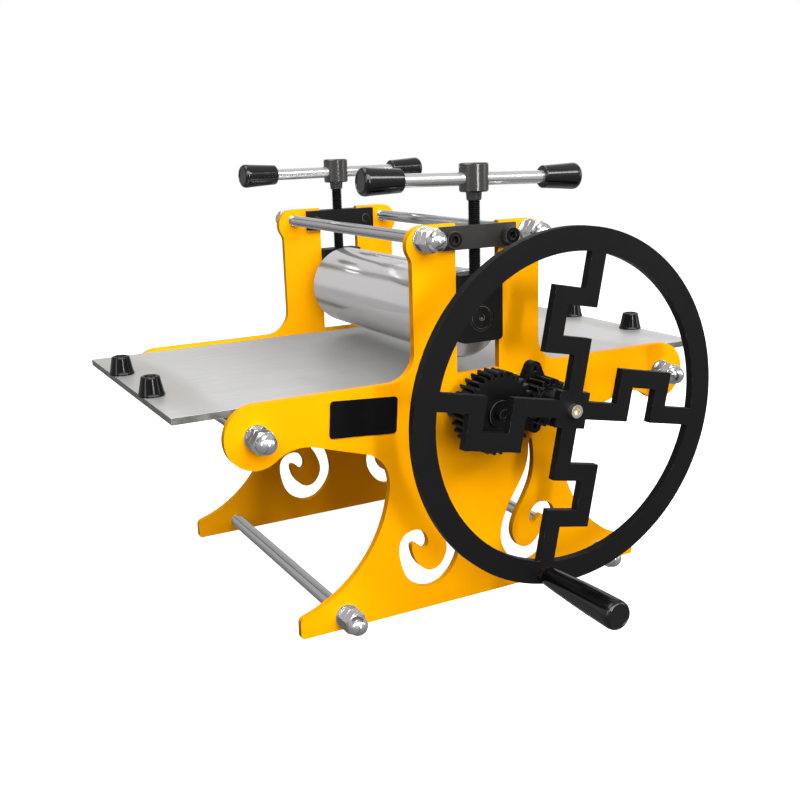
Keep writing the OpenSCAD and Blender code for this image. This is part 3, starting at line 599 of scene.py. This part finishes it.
def bareMetal(name, colour, dark, stretch, roughness, coarse, fine, depth=0.12, dustAmount=0.12,
              metallic=1.0, bands=None, rimColour=None, middle=None):
    # bright metal with streaks along the axis that stretch squeezes, and broad bands where they are given
    material = newMaterial(name)
    where = onPiece(material, (-1700, 0))
    along = stretched(material, (-1450, 0), where, stretch)
    lines = useGroup(material, streaks, (-1150, 200), {"Vector": along, "Coarse": coarse, "Fine": fine})
    marks = handled(material, (-1150, -60), where, roughness)
    rub = useGroup(material, wear, (-1150, -260), {"Vector": where, "Amount": metal["rubbedAmount"]})
    veil = useGroup(material, dust, (-1150, -460), {"Vector": where, "Amount": dustAmount})
    tone = blendColour(material, (-800, 200), lines["Tone"], dark, colour)
    if bands:
        squeeze, size, bandColour = bands
        lengthwise = stretched(material, (-1450, 420), where, squeeze)
        broad = noise(material, (-1150, 420), lengthwise, size, 2.0, 0.45)
        chosen = rescale(material, (-950, 420), broad, 0.50, 0.66)
        tone = blendColour(material, (-700, 360), chosen, tone, bandColour)
    if rimColour:
        rim = useGroup(material, plateRims, (-1150, -660), {"Vector": where})
        tone = blendColour(material, (-680, 260), rim["Mask"], tone, rimColour)
    if middle:
        # painted shade: the bed is darker beside the roller
        inside, outside, strongest, rollerShadeColour = middle
        split = place(material, "ShaderNodeSeparateXYZ", (-1450, -760), {0: where})
        reach = calculate(material, (-1250, -820), "ABSOLUTE", split.outputs["X"])
        rollerShade = rescale(
            material, (-1050, -820), reach, inside, outside, strongest, 0.0, interpolation_type="SMOOTHSTEP"
        )
        tone = blendColour(material, (-660, 320), rollerShade, tone, rollerShadeColour)
    bright = blendColour(material, (-600, 160), rub["Mask"], tone, scaled(colour, metal["rubbedTone"]))
    dusty = blendColour(material, (-400, 120), veil["Mask"], bright, metal["dustColour"])
    rough = calculate(material, (-600, -80), "MULTIPLY_ADD", lines["Tone"], metal["streakRoughness"], marks)
    bump = relief(material, (-400, -300), lines["Height"], depth, metal["streakHeight"])
    return finishMaterial(material, {
        "Base Color": dusty, "Metallic": metallic, "Roughness": rough, "Normal": bump,
    })


def mouldedPlastic(name, colour, roughness, grainSize, grainDepth, specular):
    # hard plastic or rubber straight from the mould
    material = newMaterial(name)
    where = onPiece(material, (-1300, 0))
    rough = handled(material, (-1000, 200), where, roughness, Scale=plastic["smudgeSize"])
    veil = useGroup(material, dust, (-1000, 0), {
        "Vector": where, "Amount": plastic["dustAmount"], "Scale": plastic["dustSize"],
    })
    grain = noise(material, (-1000, -240), where, grainSize, 3.0)
    shade = blendColour(material, (-700, 200), grain, colour, scaled(colour, plastic["speckTone"]))
    dusty = blendColour(material, (-450, 120), veil["Mask"], shade, plastic["dustColour"])
    bump = relief(material, (-400, -240), grain, grainDepth, plastic["grainHeight"])
    return finishMaterial(material, {
        "Base Color": dusty, "Roughness": rough, "Normal": bump, "Specular IOR Level": specular,
    })


# how a metal's pattern is squeezed
streaksAlongX = (0.012, 1.0, 1.0)
streaksAlongY = (1.0, 0.012, 1.0)
shortAlongY = (1.0, 0.02, 1.0)
ringsRoundY = (0.015, 1.0, 0.015)
unsqueezed = (1.0, 1.0, 1.0)

plateYellow = coatedMetal(
    "plateYellow", colour=(1.0, 0.42, 0.0), edge=(0.60, 0.22, 0.0), dusted=(0.75, 0.50, 0.12),
    roughness=(0.40, 0.50), skin=700.0, skinDepth=0.10, worn=0.30, dustAmount=0.01, specular=0.04,
    # the plate's sides get painted shade, a darker orange
    coat=0.02, coatRoughness=0.12, sideShadeColour=(0.44, 0.19, 0.0),
)
satinBlack = coatedMetal(
    "satinBlack", colour=(0.0036, 0.0036, 0.0038), edge=(0.05, 0.05, 0.052), dusted=(0.07, 0.068, 0.065),
    roughness=(0.42, 0.54), skin=1100.0, skinDepth=0.16, worn=0.42, dustAmount=0.05, specular=0.14,
)
wheelBlack = coatedMetal(
    "wheelBlack", colour=(0.0058, 0.0058, 0.0062), edge=(0.10, 0.10, 0.102), dusted=(0.06, 0.06, 0.06),
    roughness=(0.40, 0.50), skin=900.0, skinDepth=0.14, worn=0.38, dustAmount=0.03, specular=0.10,
)
labelBlack = coatedMetal(
    "labelBlack", colour=(0.003, 0.003, 0.0033), edge=(0.09, 0.08, 0.05), dusted=(0.05, 0.05, 0.048),
    roughness=(0.26, 0.36), skin=1500.0, skinDepth=0.03, worn=0.5, dustAmount=0.01, specular=0.10, coat=0.03,
)
headBlack = coatedMetal(
    "headBlack", colour=(0.024, 0.023, 0.021), edge=(0.09, 0.088, 0.085), dusted=(0.10, 0.098, 0.09),
    roughness=(0.34, 0.44), skin=1100.0, skinDepth=0.12, worn=0.42, dustAmount=0.04, specular=0.35,
)
hubBlack = coatedMetal(
    "hubBlack", colour=(0.018, 0.0165, 0.0155), edge=(0.12, 0.115, 0.11), dusted=(0.10, 0.098, 0.09),
    roughness=(0.20, 0.28), skin=400.0, skinDepth=0.01, worn=0.38, dustAmount=0.02, specular=0.8,
)
# painted shade for the roller's shaft ends
shaftEndShade = coatedMetal(
    "shaftEndShade", colour=(0.004, 0.004, 0.0045), edge=(0.10, 0.10, 0.10), dusted=(0.06, 0.058, 0.055),
    roughness=(0.20, 0.30), skin=1600.0, skinDepth=0.05, worn=0.55, dustAmount=0.02, specular=0.5,
)
blackedSteel = coatedMetal(
    "blackedSteel", colour=(0.002, 0.002, 0.0022), edge=(0.10, 0.10, 0.10), dusted=(0.06, 0.058, 0.055),
    roughness=(0.30, 0.42), skin=1600.0, skinDepth=0.10, worn=0.55, dustAmount=0.03, specular=0.25,
)
rollerSteel = bareMetal(
    "rollerSteel", colour=(0.74, 0.74, 0.75), dark=(0.70, 0.70, 0.71), stretch=ringsRoundY,
    roughness=(0.07, 0.10), coarse=700.0, fine=4200.0, depth=0.012, dustAmount=0.0, metallic=0.72,
    bands=((1.0, 0.03, 1.0), 60.0, (0.60, 0.60, 0.61)),
)
drawnRod = bareMetal(
    "drawnRod", colour=(0.54, 0.54, 0.54), dark=(0.44, 0.44, 0.44), stretch=streaksAlongY,
    roughness=(0.09, 0.13), coarse=80.0, fine=420.0, depth=0.004, dustAmount=0.0, metallic=0.90,
)
crossBar = bareMetal(
    "crossBar", colour=(0.66, 0.66, 0.66), dark=(0.62, 0.62, 0.62), stretch=streaksAlongX,
    roughness=(0.17, 0.19), coarse=80.0, fine=420.0, depth=0.004, dustAmount=0.0, metallic=0.86,
)
brightZinc = bareMetal(
    "brightZinc", colour=(0.60, 0.61, 0.62), dark=(0.54, 0.53, 0.51), stretch=unsqueezed,
    roughness=(0.13, 0.16), coarse=30.0, fine=200.0, depth=0.004, dustAmount=0.01, metallic=0.92,
)
yellowZinc = bareMetal(
    "yellowZinc", colour=(0.74, 0.70, 0.58), dark=(0.56, 0.50, 0.38), stretch=unsqueezed,
    roughness=(0.24, 0.34), coarse=160.0, fine=1400.0, depth=0.06, dustAmount=0.05,
)
brushedBed = bareMetal(
    "brushedBed", colour=(0.70, 0.705, 0.71), dark=(0.50, 0.505, 0.51), stretch=streaksAlongX,
    roughness=(0.34, 0.44), coarse=420.0, fine=3000.0, dustAmount=0.0, metallic=0.65,
    bands=((1.0, 0.22, 1.0), 16.0, (0.50, 0.49, 0.48)), rimColour=(0.13, 0.13, 0.115),
    # painted shade beside the roller
    middle=(0.03, 0.19, 0.85, (0.34, 0.34, 0.335)),
)
turnedBronze = bareMetal(
    "turnedBronze", colour=(0.10, 0.07, 0.045), dark=(0.05, 0.035, 0.025), stretch=shortAlongY,
    roughness=(0.32, 0.44), coarse=400.0, fine=2000.0,
)
# dark steel for the spindle's hex shoulder; its copper-brown tone is a painted reflection
reflectionTintedSteel = bareMetal(
    "reflectionTintedSteel", colour=(0.30, 0.18, 0.10), dark=(0.10, 0.07, 0.05), stretch=shortAlongY,
    roughness=(0.28, 0.40), coarse=400.0, fine=2000.0,
)
knobBlack = mouldedPlastic(
    "knobBlack", colour=(0.0012, 0.0012, 0.0014), roughness=(0.12, 0.17),
    grainSize=900.0, grainDepth=0.008, specular=0.5,
)
footRubber = mouldedPlastic(
    "footRubber", colour=(0.0010, 0.0010, 0.0012), roughness=(0.13, 0.18),
    grainSize=1500.0, grainDepth=0.02, specular=0.22,
)
print("materials made")


easedNodes = {
    # node: material, slot, rounding in mm
    "side_plate_near": (plateYellow, "plate_paint", 0.4),
    "side_plate_far": (plateYellow, "plate_paint", 0.4),
    "label_plate": (labelBlack, "black_plate", 0.2),
    "rod_washers": (brightZinc, "zinc", 0.35),
    "rod_nuts": (brightZinc, "zinc", 0.25),
    "acorn_nuts": (brightZinc, "zinc", 0.25),
    "crosshead_near": (headBlack, "black_paint", 0.4),
    "crosshead_far": (satinBlack, "black_paint", 0.4),
    "crosshead_bolts": (blackedSteel, "black_paint", 0.3),
    "roller_flange_near": (satinBlack, "black_paint", 0.4),
    "roller_flange_far": (satinBlack, "black_paint", 0.4),
    "crank_flange": (satinBlack, "black_paint", 0.4),
    "flange_bolts": (blackedSteel, "black_paint", 0.3),
    "block_near": (satinBlack, "black_paint", 0.4),
    "block_far": (satinBlack, "black_paint", 0.4),
    "t_hub_near": (hubBlack, "black_paint", 0.3),
    "t_hub_far": (hubBlack, "black_paint", 0.3),
    "drive_gear": (blackedSteel, "gear_steel", 0.18),
    "pinion_gear": (blackedSteel, "gear_steel", 0.18),
    "crank_collar": (blackedSteel, "black_paint", 0.3),
    "hand_wheel": (wheelBlack, "black_paint", 0.5),
    "bed_plate": (brushedBed, "bed_aluminium", 0.25),
    "upper_roller": (rollerSteel, "roller_steel", 0.25),
    "gear_washer": (blackedSteel, "gear_steel", 0.3),
    "gear_screw": (blackedSteel, "gear_steel", 0.3),
    "hub_screw": (yellowZinc, "zinc", 0.3),
    "handle_spindle": (reflectionTintedSteel, "rod_steel", 0.3),
}

# the bright parts in the photo mirror no yellow and hardly any black, so these aren't seen in them
unmirroredNodes = ("side_plate_near", "side_plate_far", "crosshead_near", "crosshead_far", "block_far")

plainNodes = {
    "top_rods": drawnRod,
    "arm_rods": drawnRod,
    "foot_rods": drawnRod,
    "bush_near": turnedBronze,
    "bush_far": turnedBronze,
    "keeper_pins": brightZinc,
    "t_bar_near": crossBar,
    "t_bar_far": crossBar,
    "lower_roller": rollerSteel,
    "gear_key": blackedSteel,
    "bumper_screws": brightZinc,
    "crank_shaft": drawnRod,
    "pinion_key": blackedSteel,
    "wheel_dowels": drawnRod,
    "spindle_nut": brightZinc,
}

eased = {}
for node, (material, slot, ease) in easedNodes.items():
    eased[node] = easedCopy(node, material, ease)
for node in unmirroredNodes:
    eased[node].visible_glossy = False
print("edges eased:", len(easedNodes))

for node, material in plainNodes.items():
    mesh = frame["nodes"][node].data
    mesh.materials.clear()
    mesh.materials.append(material)
print("plain nodes dressed:", len(plainNodes))

# painted shade: the roller's shaft ends are coloured near black, so they sit dark in their blocks
shadedEndLength = 0.0045
shaft = eased["upper_roller"]
shaft.data.materials.append(shaftEndShade)
low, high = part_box("upper_roller")
for face in shaft.data.polygons:
    if min(face.center.y - low.y, high.y - face.center.y) < shadedEndLength:
        face.material_index = 1
print("shaft ends blacked")

screwHeads = {
    # piece: places of the heads as (x, z), head radius
    "crosshead_bolts": ([(-0.0190, 0.3037), (0.0342, 0.3037)], 0.0065),
    "gear_screw": ([(0.0076, 0.1662)], 0.0050),
}
knurl = {
    "width": 0.00012,
    "depth": 0.00012,
    "reach": 0.0001,  # how near the head's radius a face of its rim lies
    "lean": 0.05,  # how little a face of its rim looks along Y
}


def knurlHeads(piece, axes, radius):
    # ribs on the rims of cap screws that lie along Y
    def onRim(centre, normal):
        spot = Vector((centre.x, centre.z))
        nearby = any(abs((spot - Vector(axis)).length - radius) < knurl["reach"] for axis in axes)
        return nearby and abs(normal.y) <= knurl["lean"]

    startEditing(piece)
    pickFaces(piece, onRim)
    bpy.ops.mesh.inset(thickness=knurl["width"], depth=-knurl["depth"], use_individual=True)
    stopEditing()


for node, (axes, radius) in screwHeads.items():
    knurlHeads(eased[node], axes, radius)
print("screw heads knurled")

tHandles = {
    # the bar's middle, its tilt and its turn in degrees, and how far it is slid through the hub
    "near": {"spot": (0.0076, -0.06495, 0.3483), "tilt": 1.1, "yaw": 0.0, "slide": 0.0},
    "far": {"spot": (0.0076, 0.18905, 0.3495), "tilt": 0.0, "yaw": 4.5, "slide": -0.0017},
}
knob = {
    "start": 0.0649,  # from the screw's axis
    "outline": [
        (0, 7.4), (0.25, 8.5), (0.9, 9.0), (10, 9.5), (20, 10.05), (28.5, 10.6), (30.4, 10.75), (32.2, 10.45),
        (33.4, 9.6), (34.1, 8.5), (34.2, 8.0), (34.2, 7.3), (33.7, 7.0), (33.6, 2.0),
    ],
    "sides": 64,
    "smooth": 30,
}
thread = {
    "start": 0.2751,
    "barRadius": 0.0052,
    "barGap": 0.001,
    "pitch": 1.5,  # mm
    "profile": [(4.15, 0.0), (4.98, 0.42), (4.98, 0.58), (4.15, 1.0)],  # radius in mm, rise in pitches
    "spare": 1.5,  # turns below the start, cut away later
    "extraTurns": 4,  # so that there is something to cut at both ends
    "steps": 20,
    "weld": 0.00001,
    "smooth": 25,
}
journal = {
    "outline": [(258, 3.4), (258.6, 4), (263, 4), (263.05, 2.9), (266.15, 2.9), (266.2, 4), (275.3, 4)],
    "sides": 40,
}

for side, handle in tHandles.items():
    body = side + "_screw"
    x, y, z = handle["spot"]
    lean = turnAbout("Z", handle["yaw"]) @ turnAbout("Y", handle["tilt"])
    slid = Matrix.Translation((handle["slide"], 0, 0))
    outwards = Matrix.Translation((0, 0, knob["start"]))
    knobs = []
    for end, towards in (("left", -90), ("right", 90)):
        turn = lean @ slid @ turnAbout("Y", towards) @ outwards
        name = "knob_" + side + "_" + end
        knobs.append(turnedPiece(name, knob["outline"], handle["spot"], knob["sides"], turn))
    knobs = joinPieces(*knobs)
    knobs.name = "knobs_" + side
    smoothPiece(knobs, knob["smooth"])
    dress(knobs, knobBlack, body)
    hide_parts("t_knobs_" + side)

    length = (z - thread["barRadius"] - thread["barGap"] - thread["start"]) * 1000
    screw = threadedRod("screw_" + side, (x, y, thread["start"]), length, thread)
    neck = turnedPiece("neck_" + side, journal["outline"], (x, y, 0), journal["sides"])
    screw = joinPieces(screw, neck)
    smoothPiece(screw, thread["smooth"])
    dress(screw, blackedSteel, body)
    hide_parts("pressure_screw_" + side)
print("T handles and screws made")

grip = {
    "outline": [
        (0, 6.6), (0.4, 7.6), (1.3, 8.0), (6, 8.35), (20, 9.25), (40, 10.4), (60, 11.2), (78, 11.68),
        (82.6, 11.75), (84.9, 11.4), (86.3, 10.6), (86.95, 9.7), (87, 9.3), (87, 8.8), (86.6, 8.5),
        (86.5, 2.0),
    ],
    "sides": 64,
    "smooth": 30,
}
low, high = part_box("handle_grip")
gripSpot = ((low.x + high.x) / 2, high.y, (low.z + high.z) / 2)
handleGrip = turnedPiece("grip", grip["outline"], gripSpot, grip["sides"], turnAbout("X", 90))
smoothPiece(handleGrip, grip["smooth"])
dress(handleGrip, knobBlack, "handle")
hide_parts("handle_grip")
print("grip made")

bumper = {
    "outline": [
        (0, 9.9), (0.15, 10.4), (1.1, 10.5), (1.7, 10.2), (3.2, 9.75), (13.6, 7.65), (14.7, 7.4),
        (15.3, 7.05), (15.5, 6.6), (15.5, 5.2), (15.2, 4.7), (14.6, 4.35), (4.05, 4.3),
    ],
    "sides": 40,
    "smooth": 30,
    "inset": 0.008,  # from the bed's ends
    "spread": 0.046,  # from its middle line
}
low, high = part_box("bed_plate")
feet = []
for x in (low.x + bumper["inset"], high.x - bumper["inset"]):
    for y in (-bumper["spread"], bumper["spread"]):
        spot = (x, (low.y + high.y) / 2 + y, high.z)
        feet.append(turnedPiece("foot", bumper["outline"], spot, bumper["sides"]))
bumpers = joinPieces(*feet)
bumpers.name = "rubberBumpers"
smoothPiece(bumpers, bumper["smooth"])
dress(bumpers, footRubber, "bed")
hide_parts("bumpers")
print("bumpers made")

makeCamera()
makeFloor()
makeAir()
makeSoftBoxes()
print("camera and studio ready")
